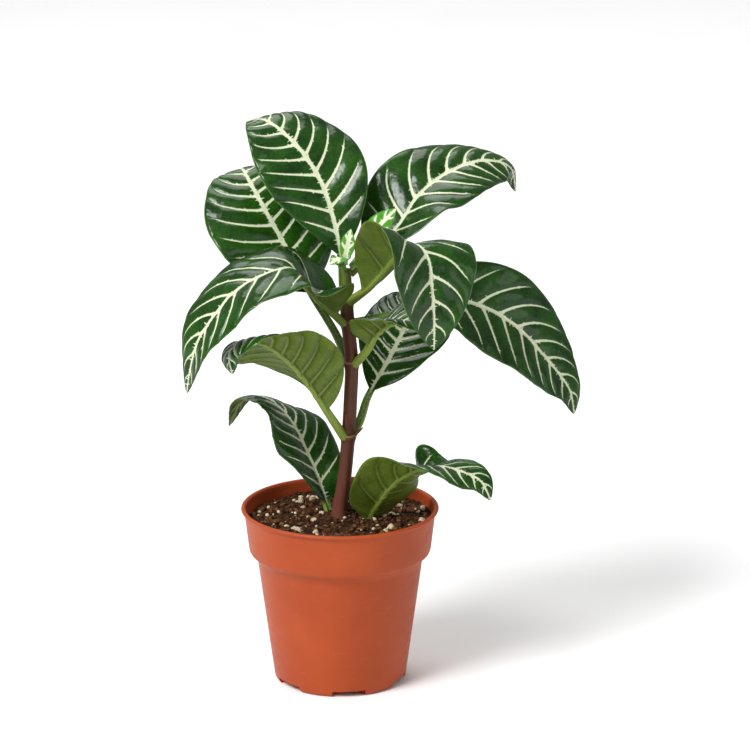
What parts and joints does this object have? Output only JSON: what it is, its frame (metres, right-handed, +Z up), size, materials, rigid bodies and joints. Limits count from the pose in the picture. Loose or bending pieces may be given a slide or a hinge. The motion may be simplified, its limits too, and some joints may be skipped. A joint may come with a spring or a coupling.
{
  "type": "potted zebra plant",
  "caption": "Upright house plant with large drooping oval leaves, dark green with cream veins, growing in potting mix in a round terracotta-coloured plastic nursery pot.",
  "frame": {"origin": "on the ground, under the middle of the whole plant's box; the pot's own axis is at x -0.0247, y -0.0040", "axes": "+Z up; +X to the right and +Y away, as the picture shows the plant"},
  "size_m": [0.2207, 0.1446, 0.3142],
  "materials": {
    "pot_plastic": "satin moulded polypropylene, terracotta colour",
    "potting_mix": "matt crumbly peat and bark with pale perlite grains",
    "stem_skin": "smooth semi-matt skin, reddish brown, green near the top",
    "leaf_green": "glossy dark green upper side with cream veins, matt light green under side",
    "young_leaf_green": "glossy bright green with cream veins"
  },
  "bodies": {
    "root": {"pot": "pot_plastic", "potting_mix": "potting_mix", "stem": "stem_skin", "leaf_left_low": "leaf_green", "leaf_right_low": "leaf_green", "leaf_left_mid": "leaf_green", "leaf_right_back": "leaf_green", "leaf_left_back": "leaf_green", "leaf_right_inner": "leaf_green", "leaf_left_long": "leaf_green", "leaf_right_long": "leaf_green", "leaf_top": "leaf_green", "leaf_right_front": "leaf_green", "leaf_right_high": "leaf_green", "young_leaf_front": "young_leaf_green", "young_leaf_upright": "young_leaf_green", "young_leaf_right": "young_leaf_green"}
  },
  "joints": []
}
